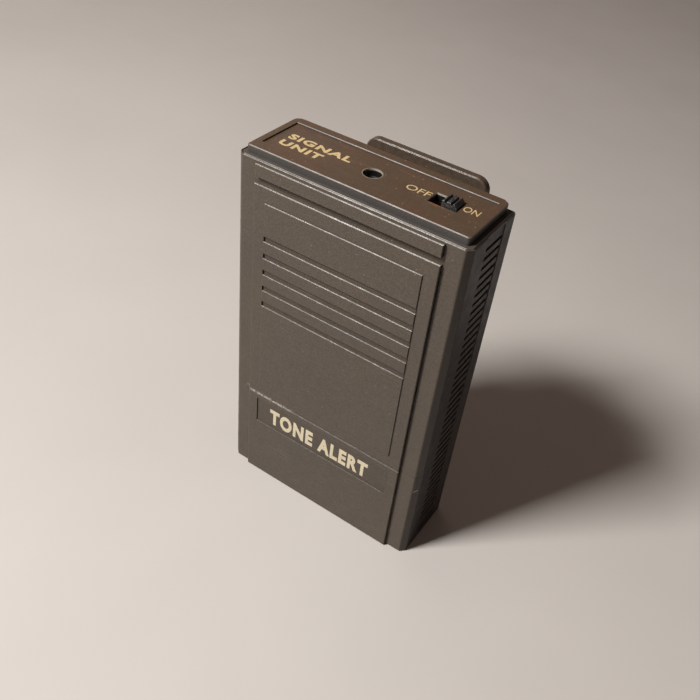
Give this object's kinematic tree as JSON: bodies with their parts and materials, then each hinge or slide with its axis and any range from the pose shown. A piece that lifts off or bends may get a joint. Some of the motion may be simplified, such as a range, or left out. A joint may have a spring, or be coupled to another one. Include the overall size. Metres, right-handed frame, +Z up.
{
  "type": "pager",
  "caption": "Pocket call receiver with a ribbed two-shell case, a slide switch and sound hole on top, a sliding battery door and a sprung belt clip.",
  "frame": {"origin": "centre of the flat bottom of the case, midway between the side walls and between the front columns and the back wall", "axes": "+Z up along the case's length towards the switch; +Y towards the back, where the belt clip is; +X towards the ON end of the switch"},
  "size_m": [0.06, 0.0343, 0.1029],
  "materials": {
    "case_plastic": "fine moulded grain, satin",
    "cap_plastic": "fine moulded grain, satin",
    "plate_lacquer": "satin lacquered foil plate, printed",
    "label_foil": "printed adhesive label",
    "knob_plastic": "black moulded acetal",
    "plated_steel": "zinc plated",
    "black_steel": "black oxide",
    "phenolic": "laminated phenolic",
    "board_laminate": "bare laminate",
    "ferrite": "sintered",
    "copper_wire": "enamelled copper winding",
    "rubber_black": "soft",
    "epoxy_black": "moulded epoxy",
    "tinned_metal": "tinned",
    "ceramic_brown": "dipped ceramic",
    "resistor_body": "lacquered",
    "capacitor_sleeve": "shrink sleeve",
    "piezo_brass": "rolled",
    "cell_jacket": "plain printed steel jacket, no lettering",
    "foam": "closed cell foam"
  },
  "bodies": {
    "case": {"front_shell": "case_plastic", "rear_shell": "case_plastic", "top_cap": "cap_plastic", "top_label_plate": "plate_lacquer", "switch_frame": "plated_steel", "switch_base": "phenolic", "switch_terminals": "tinned_metal", "clip_bracket": "case_plastic", "clip_pin": "plated_steel", "clip_spring": "plated_steel", "clip_screws": "black_steel", "case_screws": "black_steel", "board_screws": "plated_steel", "circuit_board": "board_laminate", "antenna_rod": "ferrite", "antenna_coil": "copper_wire", "antenna_holders": "rubber_black", "receiver_chips": "epoxy_black", "chip_leads": "tinned_metal", "tuning_coils": "tinned_metal", "quartz_crystal": "tinned_metal", "ceramic_filter": "ceramic_brown", "electrolytic_capacitors": "capacitor_sleeve", "disc_capacitors": "ceramic_brown", "resistors": "resistor_body", "transistors": "epoxy_black", "trimmer_capacitor": "ceramic_brown", "sounder_case": "epoxy_black", "sounder_disc": "piezo_brass", "sounder_gasket": "foam", "battery_cell_lower": "cell_jacket", "battery_cell_upper": "cell_jacket", "positive_contacts": "plated_steel", "negative_contacts": "plated_steel", "battery_link": "plated_steel"},
    "door": {"battery_door": "case_plastic", "front_label_plate": "label_foil"},
    "knob": {"switch_knob": "knob_plastic"},
    "clip": {"belt_clip": "case_plastic"}
  },
  "joints": [
    {"name": "switch_slide", "type": "slide", "parent": "case", "child": "knob", "axis": [1, 0, 0], "range_m": [-0.003, 0]},
    {"name": "clip_hinge", "type": "hinge", "parent": "case", "child": "clip", "pos_m": [0.0018, 0.0136, 0.075], "axis": [1, 0, 0], "range_deg": [0, 22], "stiffness_Nm_per_rad": 0.08, "springref_deg": -20.05, "deforming": ["clip_spring"]},
    {"name": "door_slide", "type": "slide", "parent": "case", "child": "door", "axis": [0, 0, -1], "range_m": [0, 0.033]}
  ]
}
